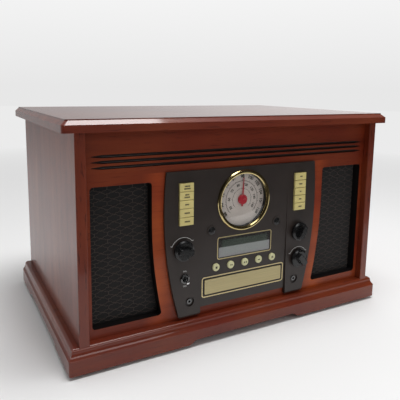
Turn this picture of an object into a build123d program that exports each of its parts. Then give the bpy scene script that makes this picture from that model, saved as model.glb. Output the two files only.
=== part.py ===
"""Table-top wooden stereo music centre.

Row frame, in millimetres: +Z up, +X to the right seen from the front, the front faces -Y.
The origin is at the floor, under the middle of the plinth.
"""
from build123d import *
import os
from math import acos, cos, degrees, pi, radians, sin, sqrt

os.makedirs("parts", exist_ok=True)

# ---------------------------------------------------------------- driving dimensions (mm)
# Cabinet
cabinet_width = 490.0          # across the outer faces of the side panels
cabinet_depth = 337.0          # a side panel from its front edge to its back edge
wall_height = 264.0            # from the plinth's top to the lid's underside
side_thickness = 13.0
fascia_recess = 10.7           # fascia behind the side panels' front edges
fascia_thickness = 14.0        # upper rail and front board
upper_rail_height = 56.2
back_thickness = 6.0
edge_round = 1.2               # softened edges of the wood

# Plinth and feet
foot_height = 4.5
foot_radius = 11.0
foot_inset = 24.0
plinth_height = 32.8
plinth_face_height = 19.7      # upright face below the moulding
plinth_cove_run = 4.6          # hollow above the upright face
plinth_cove_rise = 9.5
plinth_cove_sag = 1.2
plinth_shoulder_run = 5.8      # rounded shoulder between the hollow and the flat top
plinth_shoulder_swell = 1.3
plinth_corner_round = 3.0
plinth_front_reach = 5.8       # plinth in front of the side panels' front edges
plinth_side_reach = 14.7       # plinth outside the side panels
plinth_rail_width = 36.0
cutout_half_width = 95.0       # shallow arch under each plinth rail
cutout_height = 5.7
cutout_slant = 10.0
side_cutout_inset = 75.0
base_thickness = 12.0
base_vent_x = 130.0            # middle of the air slots under the transformer
base_vent_y = 60.0
base_vent_length = 50.0
base_vent_width = 3.0
base_vent_pitch = 10.0
base_vent_count = 5

# Lid
lid_thickness = 15.5
lid_band = 9.2                 # upright edge of the lid
lid_front_reach = 6.9
lid_side_reach = 15.7
lid_top_inset = 5.4
lid_step = 1.4                 # small upright step above the moulding
lid_corner_round = 4.0
lid_open_angle = 58.0

# Grooves in the upper rail
groove_count = 3
groove_radius = 2.0
groove_pitch = 7.0
groove_top_drop = 31.0         # first groove below the lid's underside
groove_end_gap = 6.0
groove_fade = 16.0

# Speaker openings and what is behind them
speaker_edge_inset = 6.3       # opening's outer edge inside the side panel's inner face
speaker_inner_x = 144.5        # straight upper part of the inner edge
speaker_bottom = 12.7          # above the plinth's top
speaker_top = 196.0
speaker_bend = 147.0           # the inner edge starts to curve here
speaker_inner_radius = 635.0
speaker_corner = 4.5
net_thickness = 1.2
net_cell_pitch = 17.0
net_row_pitch = 9.9
net_cell_half_width = 6.4
net_thread = 1.7
net_border = 1.6
baffle_thickness = 6.0
baffle_lap = 4.5
cone_radius = 38.0
speaker_centre_drop = 4.0      # driver's centre below the opening's middle
speaker_frame_size = 92.0
speaker_frame_thickness = 2.5
basket_depth = 24.0
magnet_radius = 27.0
magnet_thickness = 14.0
cone_wall = 1.0
cone_flange = 0.8              # the cone's rim, held between the frame and the baffle
cone_flange_radius = 42.0
voice_radius = 12.0

# Control panel: two pilasters that flare towards the foot, with a flat field between them
panel_plate = 3.0
panel_field_bottom = 12.8      # above the plinth's top
pilaster_bottom = 2.5
pilaster_inner_x = 74.5
pilaster_widest_x = 128.2
pilaster_widest_height = 152.0
pilaster_side_radius = 528.0
pilaster_foot_out = 6.0        # how far the foot stands out of the fascia
pilaster_knee = 4.5
pilaster_corner = 3.0
board_window_half = 110.0      # opening in the front board behind the panel
board_window_bottom = 20.0
board_window_margin = 11.5     # opening's top above the key stacks

# Dial
dial_x = -3.6
dial_height = 159.3            # centre above the plinth's top
dial_radius = 44.0
dial_bezel_out = 5.2
dial_bezel_wall = 1.6          # bezel's skirt in the panel's recess
dial_floor = -4.0              # back of the sunk face, out of the fascia
dial_glass_radius = 39.3
dial_lip = 0.8
dial_face_thickness = 1.0
dial_rim = 1.1
dial_glass_seat = 5.8          # glass above the face's back
dial_glass_thickness = 1.3
dial_glass_rise = 3.2
dial_back_wall = 2.0
pointer_hub_radius = 7.2
pointer_hub_thickness = 4.2
pointer_length = 32.0
pointer_tail = 10.0
pointer_rest_angle = -3.0
pointer_width = 1.3
pointer_shaft_radius = 1.5

# Display
display_below_dial = 65.9      # between their centres
display_width = 88.0
display_tall = 27.6
display_flange = 4.0

# CD player
cd_height = 40.0
cd_plate_width = 133.0
cd_plate_tall = 21.6
cd_plate_thickness = 1.2
cd_slot_gap = 1.0
disc_radius = 61.0
disc_well_depth = 5.0
tray_thickness = 9.0
tray_length = 165.0
tray_front_block = 5.0
cd_housing_wall = 2.5
cd_housing_length = 180.0
cd_headroom = 5.0

# Keys and round buttons
key_count = 5
key_pitch = 11.6
key_height = 10.9
key_width = 20.7
key_x = 96.7
key_row_height = 163.1
key_out = 3.0
key_gap = 0.4
button_count = 5
button_pitch = 24.35
button_radius = 5.5
button_height = 66.9
button_out = 2.4
press_travel = 1.5

# Knobs and rotary controls
knob_radius = 13.5
knob_out = 14.0
knob_gap = 1.6                 # knob's back off the panel
knob_skirt_radius = 14.2
knob_skirt_height = 4.5
knob_grip_width = 9.0
function_x = -100.9
function_height = 100.1
tuning_x = 97.8
tuning_height = 100.5
volume_x = 98.4
volume_height = 57.6
knob_rest_angle = {"function_knob": -8.0, "tuning_knob": 62.0, "volume_knob": -50.0}
knob_shaft_radius = 3.0
rotary_can_radius = 8.0
rotary_can_depth = 10.0

# Toggle, sockets and small windows
toggle_x = -98.3
toggle_height = 59.3
toggle_bush_radius = 6.5
toggle_tilt = 12.0
toggle_reach = 13.0
jack_x = 91.1
jack_height = 25.3
jack_bore_radius = 1.8
jack_ring_radius = 3.7
jack_recess_radius = 7.1
jack_length = 14.0
window_x = 56.1
window_height = 120.7
window_radius = 5.4
window_ring_radius = 7.5
led_x = -92.4
led_height = 51.0
led_radius = 1.6

# Record player
well_depth = 60.0              # deck below the lid's underside
deck_thickness = 3.0
record_radius = 151.0
record_side_room = 9.0
platter_radius = 100.0
platter_lift = 8.0             # underside of the platter's disc above the deck
platter_thickness = 4.0
platter_hub_radius = 14.0
platter_skirt = 4.0
belt_rim_radius = 74.0
belt_rim_wall = 4.0
belt_thickness = 1.0
belt_width = 3.0
pulley_radius = 5.0
pulley_angle = 130.0           # seen from above, from +X
pulley_spacing = 87.0
motor_radius = 18.0
motor_height = 24.0
spindle_radius = 3.58          # free end, for a 7.24 mm record hole
bearing_radius = 4.0           # the spindle inside the platter
spindle_above_mat = 9.0
slipmat_thickness = 2.0
slipmat_radius = 97.0
arm_offset_x = 190.0           # arm's pivot from the spindle
arm_offset_y = 95.0
arm_length = 224.5             # pivot to stylus
arm_tube_radius = 3.5
arm_height = 24.0              # arm's axis above the deck
arm_base_radius = 22.0
arm_base_height = 8.0
arm_bearing_radius = 3.0
arm_pin_radius = 1.5
arm_rest_reach = 140.0
weight_radius = 11.0
weight_length = 16.0
speed_lever_x = 186.0
speed_lever_y = -70.0
speed_grip_length = 20.0
speed_grip_width = 5.0

# Hinges and stay
hinge_x = 165.0
hinge_leaf_width = 42.0
hinge_leaf_thickness = 1.5
hinge_barrel_radius = 3.0
hinge_pin_radius = 1.5
stay_radius = 46.0             # quadrant stay's arc round the hinge pins
stay_width = 9.0
stay_thickness = 2.0
stay_stud_angle = 8.0
stud_radius = 2.0

# Inside
circuit_gap = 12.0             # circuit board behind the front board
circuit_thickness = 1.6
circuit_half_width = 104.0
transformer_size = (62.0, 50.0, 46.0)
transformer_x = 150.0
transformer_y = 60.0

# Back
vent_length = 70.0
vent_height = 3.2
vent_columns = (-110.0, 0.0, 110.0)
vent_rows = 6
vent_pitch = 9.0
vent_low = 110.0               # lowest vent above the plinth's top
rear_socket_x = -140.0
rear_socket_pitch = 20.0
rear_socket_height = 50.0
rear_socket_out = 8.0
rear_socket_inside = 10.0
rear_socket_radius = 4.2
rear_socket_bore = 1.6
gland_x = 160.0
gland_height = 45.0
gland_radius = 7.0
gland_bore = 3.0

# Clearances
slide_gap = 0.4
curved_gap = 0.3
running_gap = 0.05
deep = 40.0                    # a cutter this long passes through any wall of the panel

# ---------------------------------------------------------------- worked-out planes
inner_half = cabinet_width / 2 - side_thickness
plinth_depth = cabinet_depth + plinth_front_reach
plinth_front_y = -plinth_depth / 2
plinth_back_y = plinth_depth / 2
front_edge_y = plinth_front_y + plinth_front_reach
back_edge_y = front_edge_y + cabinet_depth
fascia_y = front_edge_y + fascia_recess
fascia_back_y = fascia_y + fascia_thickness
back_inner_y = back_edge_y - back_thickness
plinth_half = cabinet_width / 2 + plinth_side_reach
plinth_top = foot_height + plinth_height
wall_top = plinth_top + wall_height
rail_bottom = wall_top - upper_rail_height
deck_z = wall_top - well_depth
knee_z = plinth_top + pilaster_bottom + pilaster_knee
flare_run = rail_bottom - knee_z
flare_rise = pilaster_foot_out - panel_plate
flare_radius = (flare_run ** 2 + flare_rise ** 2) / (2 * flare_rise)
key_stack = key_pitch * key_count + key_gap
board_window_top = key_row_height + key_stack / 2 + board_window_margin
display_height = dial_height - display_below_dial
glass_seat_out = dial_floor + dial_glass_seat
glass_front = glass_seat_out + dial_glass_thickness
platter_x = record_radius + record_side_room - inner_half


def pilaster_out(z):
    """How far the pilaster's face stands out of the fascia at a height z."""
    return panel_plate + flare_radius - sqrt(flare_radius ** 2 - (rail_bottom - z) ** 2)


# ---------------------------------------------------------------- helpers
def block(x0, x1, y0, y1, z0, z1):
    return Pos((x0 + x1) / 2, (y0 + y1) / 2, (z0 + z1) / 2) * Box(x1 - x0, y1 - y0, z1 - z0)


def rod_x(y, z, x0, x1, radius):
    return Pos((x0 + x1) / 2, y, z) * Rot(0, 90, 0) * Cylinder(radius, x1 - x0)


def rod_y(x, z, y0, y1, radius):
    return Pos(x, (y0 + y1) / 2, z) * Rot(90, 0, 0) * Cylinder(radius, y1 - y0)


def rod_z(x, y, z0, z1, radius):
    return Pos(x, y, (z0 + z1) / 2) * Cylinder(radius, z1 - z0)


def front_plane(out):
    """A drawing plane parallel to the fascia, out in front of it; its axes are X and Z."""
    return Plane(origin=(0, fascia_y - out, 0), x_dir=(1, 0, 0), z_dir=(0, -1, 0))


def on_front(sketch, out_from, out_to):
    return extrude(front_plane(out_from) * sketch, amount=out_to - out_from)


def disc_front(x, z, out_from, out_to, radius):
    return rod_y(x, z, fascia_y - out_to, fascia_y - out_from, radius)


def block_front(x, z, width, height, out_from, out_to):
    half_w, half_h = width / 2, height / 2
    return block(x - half_w, x + half_w, fascia_y - out_to, fascia_y - out_from, z - half_h, z + half_h)


def turned_front(x, z, points):
    """A solid turned about an axis square to the fascia, from (radius, out) points."""
    outline = [(radius, out) for radius, out in points]
    wire = Polyline(*outline, close=True)
    turned = revolve(Plane.XZ * make_face(wire), Axis.Z)
    return Pos(x, fascia_y, z) * Rot(90, 0, 0) * turned


def cap_drop(x, reach, rise):
    """How far a dome of a given reach and rise has fallen at a distance x from its middle."""
    sphere = (reach ** 2 + rise ** 2) / (2 * rise)
    return sphere - sqrt(sphere ** 2 - x ** 2)


def mirrored(shape):
    return mirror(shape, about=Plane.YZ)


def save(name, *solids):
    shape = solids[0] if len(solids) == 1 else Compound(children=list(solids))
    export_step(shape, f"parts/{name}.step")


# ---------------------------------------------------------------- plinth, base board and feet
def plinth_profile():
    """Section of a plinth rail: u inwards from the outer face, v upwards from its underside."""
    waist = (plinth_cove_run, plinth_face_height + plinth_cove_rise)
    shelf = (plinth_cove_run + plinth_shoulder_run, plinth_height)
    chord = sqrt(plinth_cove_run ** 2 + plinth_cove_rise ** 2)
    hollow = (waist[0] / 2 + plinth_cove_sag * plinth_cove_rise / chord,
              (plinth_face_height + waist[1]) / 2 - plinth_cove_sag * plinth_cove_run / chord)
    rise = shelf[1] - waist[1]
    chord = sqrt(plinth_shoulder_run ** 2 + rise ** 2)
    swell = ((waist[0] + shelf[0]) / 2 - plinth_shoulder_swell * rise / chord,
             (waist[1] + shelf[1]) / 2 + plinth_shoulder_swell * plinth_shoulder_run / chord)
    lines = Polyline((0, plinth_face_height), (0, 0), (plinth_rail_width, 0),
                     (plinth_rail_width, plinth_height), shelf)
    lines += ThreePointArc(shelf, swell, waist)
    lines += ThreePointArc(waist, hollow, (0, plinth_face_height))
    return make_face(lines)


def arch(half_width):
    """The shallow arch cut under a rail, drawn along it on a plane whose second axis points down."""
    inner = half_width - cutout_slant
    return make_face(Polyline((-half_width, 1), (half_width, 1), (half_width, 0), (inner, -cutout_height),
                              (-inner, -cutout_height), (-half_width, 0), close=True))


def make_plinth():
    half, width = plinth_half, plinth_rail_width
    front_cut = Polyline((-half, plinth_front_y), (half, plinth_front_y),
                         (half - width, plinth_front_y + width), (-half + width, plinth_front_y + width),
                         close=True)
    front_plane_ends = Plane(origin=(-half, plinth_front_y, foot_height), x_dir=(0, 1, 0), z_dir=(1, 0, 0))
    front = extrude(front_plane_ends * plinth_profile(), amount=2 * half)
    stile_seat = block(inner_half, cabinet_width / 2, front_edge_y, fascia_y,
                       foot_height + plinth_face_height, plinth_top)
    front += stile_seat + mirrored(stile_seat)
    front &= extrude(Pos(0, 0, foot_height) * make_face(front_cut), amount=plinth_height)
    front_arch = Plane(origin=(0, plinth_front_y, foot_height), x_dir=(1, 0, 0), z_dir=(0, 1, 0))
    front -= extrude(front_arch * arch(cutout_half_width), amount=width, both=True)
    side_cut = Polyline((half, plinth_front_y), (half, plinth_back_y), (half - width, plinth_back_y),
                        (half - width, plinth_front_y + width), close=True)
    side_section = Plane(origin=(half, plinth_front_y, foot_height), x_dir=(-1, 0, 0), z_dir=(0, 1, 0))
    side = extrude(side_section * plinth_profile(), amount=plinth_depth)
    side &= extrude(Pos(0, 0, foot_height) * make_face(side_cut), amount=plinth_height)
    side_arch = Plane(origin=(half, 0, foot_height), x_dir=(0, 1, 0), z_dir=(-1, 0, 0))
    side -= extrude(side_arch * arch(plinth_depth / 2 - side_cutout_inset), amount=width, both=True)
    rim = fillet(Rectangle(2 * half, plinth_depth).vertices(), plinth_corner_round)
    rim = extrude(Pos(0, 0, foot_height) * rim, amount=plinth_height)
    front &= rim
    side &= rim
    back = block(-half + width, half - width, plinth_back_y - width, plinth_back_y,
                 foot_height, plinth_top)
    save("plinth", front, side, mirrored(side), back)
    inside = half - width
    base = block(-inside, inside, plinth_front_y + width, plinth_back_y - width,
                 plinth_top - base_thickness, plinth_top)
    vent = Pos(base_vent_x, base_vent_y, plinth_top) * Box(
        base_vent_length, base_vent_width, 3 * base_thickness)
    for row in range(base_vent_count):
        base -= Pos(0, base_vent_pitch * (row - (base_vent_count - 1) / 2), 0) * vent
    save("base_board", base)
    feet = []
    for side_sign in (-1, 1):
        for y in (plinth_front_y + foot_inset, plinth_back_y - foot_inset):
            feet.append(rod_z(side_sign * (half - foot_inset), y, 0, foot_height, foot_radius))
    save("feet", *feet)


# ---------------------------------------------------------------- cabinet walls
def make_walls():
    outer = cabinet_width / 2
    side = block(inner_half, outer, front_edge_y, back_edge_y, plinth_top, wall_top)
    front_edges = side.edges().filter_by(Axis.Z).sort_by(Axis.Y)[0:2]
    side = fillet(front_edges, edge_round)
    save("side_panel_right", side)
    save("side_panel_left", mirrored(side))
    rail = block(-inner_half, inner_half, fascia_y, fascia_back_y, rail_bottom, wall_top)
    groove_half = inner_half - groove_end_gap - groove_fade
    for row in range(groove_count):
        z = wall_top - groove_top_drop - row * groove_pitch
        cutter = rod_x(fascia_y, z, -groove_half, groove_half, groove_radius)
        tip = Rot(0, 90, 0) * Cone(groove_radius, 0.2, groove_fade)
        cutter += Pos(groove_half + groove_fade / 2, fascia_y, z) * tip
        cutter += mirrored(Pos(groove_half + groove_fade / 2, fascia_y, z) * tip)
        rail -= cutter
    save("upper_rail", rail)


def speaker_face(grow=0.0):
    """The right speaker opening in the fascia, its inner edge curving away below."""
    outer_x = inner_half - speaker_edge_inset
    low, high = plinth_top + speaker_bottom, plinth_top + speaker_top
    bend = plinth_top + speaker_bend
    centre_x = speaker_inner_x - speaker_inner_radius

    def inner_x(z):
        return centre_x + sqrt(speaker_inner_radius ** 2 - (bend - z) ** 2)

    middle = (low + bend) / 2
    lines = Polyline((inner_x(low), low), (outer_x, low), (outer_x, high), (speaker_inner_x, high),
                     (speaker_inner_x, bend))
    lines += ThreePointArc((speaker_inner_x, bend), (inner_x(middle), middle), (inner_x(low), low))
    face = make_face(lines)
    corners = [v for v in face.vertices() if abs(v.Y - bend) > 1]
    face = fillet(corners, speaker_corner)
    return offset(face, grow) if grow else face


def make_front_board():
    board = block(-inner_half, inner_half, fascia_y, fascia_back_y, plinth_top, rail_bottom)
    opening = on_front(speaker_face(), -fascia_thickness - 1, 1)
    board -= opening
    board -= mirrored(opening)
    window_top, window_low = plinth_top + board_window_top, plinth_top + board_window_bottom
    board -= block(-board_window_half, board_window_half, fascia_y - 1, fascia_back_y + 1,
                   window_low, window_top)
    save("front_board", board)


def make_back_panel():
    panel = block(-inner_half, inner_half, back_inner_y, back_edge_y, plinth_top, wall_top)
    slot = Box(vent_length, 4 * back_thickness, vent_height)
    for x in vent_columns:
        for row in range(vent_rows):
            panel -= Pos(x, back_edge_y, plinth_top + vent_low + vent_pitch * row) * slot
    for x, z in rear_socket_places():
        panel -= rod_y(x, z, back_inner_y - 1, back_edge_y + 1, rear_socket_radius + curved_gap)
    panel -= rod_y(gland_x, plinth_top + gland_height, back_inner_y - 1, back_edge_y + 1,
                   gland_radius - 2 + curved_gap)
    save("back_panel", panel)


def rear_socket_places():
    half, z = rear_socket_pitch / 2, plinth_top + rear_socket_height
    return [(rear_socket_x - half, z), (rear_socket_x + half, z)]


def make_rear_sockets():
    pieces = []
    radius, inner_y = rear_socket_radius, back_edge_y - rear_socket_inside
    for x, z in rear_socket_places():
        shell = rod_y(x, z, back_edge_y, back_edge_y + rear_socket_out, radius)
        shell += rod_y(x, z, back_edge_y, back_edge_y + rear_socket_out / 4, radius + 3)
        shell += rod_y(x, z, inner_y, back_edge_y, radius)
        shell -= rod_y(x, z, back_edge_y - 2, back_edge_y + rear_socket_out + 1, rear_socket_bore)
        pieces.append(shell)
    z = plinth_top + gland_height
    gland = rod_y(gland_x, z, inner_y + 1, back_edge_y, gland_radius - 2)
    gland += rod_y(gland_x, z, back_edge_y, back_edge_y + gland_bore + 1, gland_radius)
    gland -= rod_y(gland_x, z, inner_y, back_edge_y + gland_bore + 2, gland_bore)
    pieces.append(gland)
    save("rear_sockets", *pieces)


# ---------------------------------------------------------------- speakers
def speaker_centre():
    outer_x = inner_half - speaker_edge_inset
    return ((speaker_inner_x + outer_x) / 2 - 3,
            plinth_top + (speaker_bottom + speaker_top) / 2 - speaker_centre_drop)


def make_speakers():
    net_back = -fascia_thickness
    net_front = net_back + net_thickness
    sheet = speaker_face(-curved_gap)
    window = speaker_face(-curved_gap - net_border)
    half_row = net_row_pitch / 2 - net_thread / 2
    tip = net_cell_half_width - net_thread / 2
    flat = net_cell_pitch / 2 - net_cell_half_width - net_thread * 0.2
    cell = make_face(Polyline((tip, 0), (flat, half_row), (-flat, half_row), (-tip, 0),
                              (-flat, -half_row), (flat, -half_row), close=True))
    box = window.bounding_box()
    places = []
    columns = int((box.max.X - box.min.X) / (net_cell_pitch / 2)) + 2
    rows = int((box.max.Y - box.min.Y) / net_row_pitch) + 2
    for column in range(columns):
        for row in range(rows):
            lift = net_row_pitch / 2 if column % 2 else 0
            places.append((box.min.X + column * net_cell_pitch / 2, box.min.Y + row * net_row_pitch + lift))
    cells = []
    for x, z in places:
        cut = Pos(x, z) * cell & window
        cells += [face for face in cut.faces() if face.area > cell.area * 0.3]
    net = on_front(sheet - cells, net_back, net_front)
    save("speaker_nets", net, mirrored(net))
    print("net cells on each side", len(cells))

    x, z = speaker_centre()
    outer = speaker_face().bounding_box()
    baffle_x1 = inner_half - 1
    baffle = block(outer.min.X - baffle_lap, baffle_x1, fascia_back_y, fascia_back_y + baffle_thickness,
                   outer.min.Y - baffle_lap, outer.max.Y + baffle_lap)
    baffle -= rod_y(x, z, fascia_back_y - 1, fascia_back_y + baffle_thickness + 1, cone_radius + 3)
    save("speaker_baffles", baffle, mirrored(baffle))

    seat = fascia_back_y + baffle_thickness
    half = speaker_frame_size / 2
    plate_back = seat + speaker_frame_thickness
    magnet_y = plate_back + basket_depth
    bore = cone_radius + curved_gap
    backwards = Rot(-90, 0, 0)
    frame = block(x - half, x + half, seat, plate_back, z - half, z + half)
    basket = Cone(cone_radius + 3, magnet_radius, basket_depth)
    frame += Pos(x, plate_back + basket_depth / 2, z) * backwards * basket
    frame += rod_y(x, z, magnet_y, magnet_y + magnet_thickness, magnet_radius)
    frame -= rod_y(x, z, seat - 1, plate_back, bore)
    frame -= Pos(x, plate_back + basket_depth / 2, z) * backwards * Cone(bore, 16, basket_depth)
    frame -= rod_y(x, z, seat - 1, seat + cone_flange, cone_flange_radius + curved_gap)
    save("speaker_frames", frame, mirrored(frame))

    depth = basket_depth * 0.7
    cone = Cone(cone_radius, voice_radius, depth)
    inside = Cone(cone_radius - cone_wall, voice_radius - cone_wall, depth + 0.1)
    shell = Pos(x, seat + depth / 2, z) * backwards * (cone - inside)
    shell += rod_y(x, z, seat + depth - 2, seat + depth, voice_radius)
    flange = rod_y(x, z, seat, seat + cone_flange, cone_flange_radius)
    shell += flange - rod_y(x, z, seat - 1, seat + cone_flange + 1, cone_radius - cone_wall - 0.5)
    save("speaker_cones", shell, mirrored(shell))


# ---------------------------------------------------------------- control panel
def panel_outline():
    side_centre = pilaster_widest_x - pilaster_side_radius
    widest_z = plinth_top + pilaster_widest_height

    def side_x(z):
        return side_centre + sqrt(pilaster_side_radius ** 2 - (widest_z - z) ** 2)

    low = plinth_top + pilaster_bottom
    field_low = plinth_top + panel_field_bottom
    top, middle = rail_bottom, (rail_bottom + low) / 2
    right = Polyline((0, top), (side_x(top), top))
    right += ThreePointArc((side_x(top), top), (side_x(middle), middle), (side_x(low), low))
    right += Polyline((side_x(low), low), (pilaster_inner_x, low), (pilaster_inner_x, field_low),
                      (0, field_low), (0, rail_bottom))
    half = make_face(right)
    half = fillet([v for v in half.vertices() if v.Y < low + 1], pilaster_corner)
    return half + mirror(half, about=Plane.YZ)


def pilaster_body():
    low = plinth_top + pilaster_bottom
    foot_y = fascia_y - pilaster_foot_out
    middle_z = (rail_bottom + knee_z) / 2
    turn = pilaster_knee * (1 - cos(pi / 4))
    lines = Polyline((foot_y + pilaster_knee, low), (fascia_y, low), (fascia_y, rail_bottom),
                     (fascia_y - panel_plate, rail_bottom))
    lines += ThreePointArc((fascia_y - panel_plate, rail_bottom),
                           (fascia_y - pilaster_out(middle_z), middle_z), (foot_y, knee_z))
    lines += ThreePointArc((foot_y, knee_z), (foot_y + turn, low + turn), (foot_y + pilaster_knee, low))
    section = Plane(origin=(pilaster_inner_x, 0, 0), x_dir=(0, 1, 0), z_dir=(1, 0, 0)) * make_face(lines)
    return extrude(section, amount=pilaster_widest_x)


def rounded_slot(width, height, corner):
    outline = Rectangle(width, height)
    return fillet(outline.vertices(), corner)


def key_places():
    """Centres of the keys: left stack from the top, then right stack from the top."""
    places = {}
    for name, side in (("left", -1), ("right", 1)):
        for row in range(key_count):
            z = plinth_top + key_row_height + ((key_count - 1) / 2 - row) * key_pitch
            places[f"key_{name}_{row + 1}"] = (side * key_x, z)
    return places


def button_places():
    z = plinth_top + button_height
    middle = (button_count - 1) / 2
    return {f"button_{i + 1}": ((i - middle) * button_pitch, z) for i in range(button_count)}


def knob_places():
    return {"function_knob": (function_x, plinth_top + function_height),
            "tuning_knob": (tuning_x, plinth_top + tuning_height),
            "volume_knob": (volume_x, plinth_top + volume_height)}


circuit_y = fascia_back_y + circuit_gap
circuit_low = plinth_top + button_height - button_radius - 0.6
circuit_high = plinth_top + board_window_top - 6
post_x = 66.0
post_places = [(x, z) for x in (-post_x, post_x) for z in (circuit_low + 22, circuit_high - 8)]
display_z = plinth_top + display_height
cd_z = plinth_top + cd_height
dial_z = plinth_top + dial_height
toggle_z = plinth_top + toggle_height
jack_z = plinth_top + jack_height
window_z = plinth_top + window_height
led_z = plinth_top + led_height
toggle_seat = pilaster_out(toggle_z + toggle_bush_radius)
bush_radius = knob_shaft_radius + 1.0


def make_control_panel():
    outline = panel_outline()
    panel = on_front(outline, 0, panel_plate)
    body = pilaster_body()
    pilasters = on_front(outline, 0, pilaster_foot_out + 1) & (body + mirrored(body))
    panel += pilasters
    recess_radius = dial_glass_radius + dial_bezel_wall + curved_gap
    panel += disc_front(dial_x, dial_z, dial_floor - dial_back_wall, 0, recess_radius + 1.4)
    panel -= disc_front(dial_x, dial_z, dial_floor, deep, recess_radius)
    panel -= disc_front(dial_x, dial_z, -deep, deep, pointer_shaft_radius + curved_gap)
    panel -= block_front(0, display_z, display_width + slide_gap, display_tall + slide_gap, -1, deep)
    slot_w, slot_h = cd_plate_width + 2 * cd_slot_gap, cd_plate_tall + 2 * cd_slot_gap
    panel -= on_front(Pos(0, cd_z) * rounded_slot(slot_w, slot_h, 2.0), -1, deep)
    for name, (x, z) in button_places().items():
        panel -= disc_front(x, z, -1, deep, button_radius + curved_gap)
    for side in (-1, 1):
        z = plinth_top + key_row_height
        panel -= block_front(side * key_x, z, key_width + 2 * key_gap, key_stack, -1, deep)
        panel += disc_front(side * window_x, window_z, 0, panel_plate + 0.8, window_ring_radius)
        panel -= disc_front(side * window_x, window_z, -1, deep, window_radius + curved_gap)
        panel -= disc_front(side * jack_x, jack_z, -1, deep, jack_ring_radius - 0.6 + curved_gap)
        recess_floor = pilaster_out(jack_z) - 2.0
        panel -= disc_front(side * jack_x, jack_z, recess_floor, deep, jack_recess_radius)
    for x, z in knob_places().values():
        panel -= disc_front(x, z, -1, deep, bush_radius + curved_gap)
    panel -= disc_front(toggle_x, toggle_z, -1, deep, toggle_bush_radius - 2 + curved_gap)
    panel -= disc_front(toggle_x, toggle_z, toggle_seat, deep, toggle_bush_radius + curved_gap)
    panel -= disc_front(led_x, led_z, -1, deep, led_radius + curved_gap)
    posts = [rod_y(x, z, fascia_y, circuit_y, 3.0) for x, z in post_places]
    save("control_panel", panel, *posts)


def make_dial():
    wall, out = dial_glass_radius + curved_gap, dial_bezel_out
    lip = dial_glass_radius - dial_lip
    bezel_points = [(wall, panel_plate), (dial_radius, panel_plate), (dial_radius, out - 1.2),
                    (dial_radius - 0.7, out - 0.4), (dial_radius - 2.0, out), (lip + 1.4, out - 0.3),
                    (lip, out - 0.9), (lip, glass_front), (wall, glass_front)]
    bezel = turned_front(dial_x, dial_z, bezel_points)
    skirt_low, skirt_high = dial_floor + dial_face_thickness, panel_plate + 0.5
    skirt_radius = dial_glass_radius + dial_bezel_wall
    skirt = [(wall, skirt_low), (skirt_radius, skirt_low), (skirt_radius, skirt_high), (wall, skirt_high)]
    bezel += turned_front(dial_x, dial_z, skirt)
    save("dial_bezel", bezel)
    face = disc_front(dial_x, dial_z, dial_floor, glass_seat_out, dial_glass_radius)
    face -= disc_front(dial_x, dial_z, skirt_low, deep, dial_glass_radius - dial_rim)
    face -= disc_front(dial_x, dial_z, -deep, deep, pointer_shaft_radius + curved_gap)
    save("dial_face", face)
    reach = lip - 0.6
    inner_reach = reach - 0.8
    apex = glass_seat_out + dial_glass_rise
    crown = apex + dial_glass_thickness
    shoulder = glass_front - 0.1
    outer_mid = (reach / 2, crown - cap_drop(reach / 2, reach, crown - shoulder))
    inner_mid = (inner_reach / 2, apex - cap_drop(inner_reach / 2, inner_reach, dial_glass_rise))
    lines = Line((0, apex), (0, crown))
    lines += ThreePointArc((0, crown), outer_mid, (reach, shoulder))
    lines += Polyline((reach, shoulder), (dial_glass_radius, shoulder), (dial_glass_radius, glass_seat_out),
                      (inner_reach, glass_seat_out))
    lines += ThreePointArc((inner_reach, glass_seat_out), inner_mid, (0, apex))
    glass = revolve(Plane.XZ * make_face(lines), Axis.Z)
    save("dial_glass", Pos(dial_x, fascia_y, dial_z) * Rot(90, 0, 0) * glass)
    hub_back = skirt_low + 0.8
    hub_front = hub_back + pointer_hub_thickness
    hub = turned_front(dial_x, dial_z, [(0, hub_back), (pointer_hub_radius, hub_back),
                                        (pointer_hub_radius, hub_front - 1.6),
                                        (pointer_hub_radius - 1.6, hub_front), (0, hub_front)])
    tip = pointer_width * 0.35
    needle = make_face(Polyline((-pointer_width, -pointer_tail), (pointer_width, -pointer_tail),
                                (tip, pointer_length), (-tip, pointer_length), close=True))
    needle = Pos(dial_x, dial_z) * Rot(0, 0, pointer_rest_angle) * needle
    hub += on_front(needle, hub_back + 0.8, hub_back + 1.6)
    hub += rod_y(dial_x, dial_z, fascia_y - hub_back, circuit_y + circuit_thickness, pointer_shaft_radius)
    save("dial_pointer", hub)


def make_display():
    front = panel_plate - 0.4
    module = block_front(0, display_z, display_width, display_tall, 0, front)
    flange_w, flange_h = display_width + 2 * display_flange, display_tall + display_flange
    module += block_front(0, display_z, flange_w, flange_h, -2.0, 0)
    save("display_window", module)


def make_keys():
    cap_back = panel_plate - press_travel - 0.2 - 1.0
    for name, (x, z) in key_places().items():
        width = key_width
        cap = block_front(x, z, width, key_height, cap_back, pilaster_out(z) + key_out)
        front_edges = cap.faces().sort_by(Axis.Y)[0].edges()
        cap = fillet(front_edges, 0.6)
        side = -1 if x < 0 else 1
        stem_x = x - side * 2
        stem_back = circuit_y - press_travel - 0.2
        cap += block(stem_x - 3, stem_x + 3, fascia_y - cap_back, stem_back, z - 2, z + 2)
        save(name, cap)
    for name, (x, z) in button_places().items():
        dome = [(0, 0), (button_radius, 0), (button_radius, panel_plate + button_out - 0.8),
                (button_radius - 0.8, panel_plate + button_out), (0, panel_plate + button_out)]
        cap = turned_front(x, z, dome)
        cap += rod_y(x, z, fascia_y, circuit_y - press_travel - 0.2, 2.0)
        save(name, cap)


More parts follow.
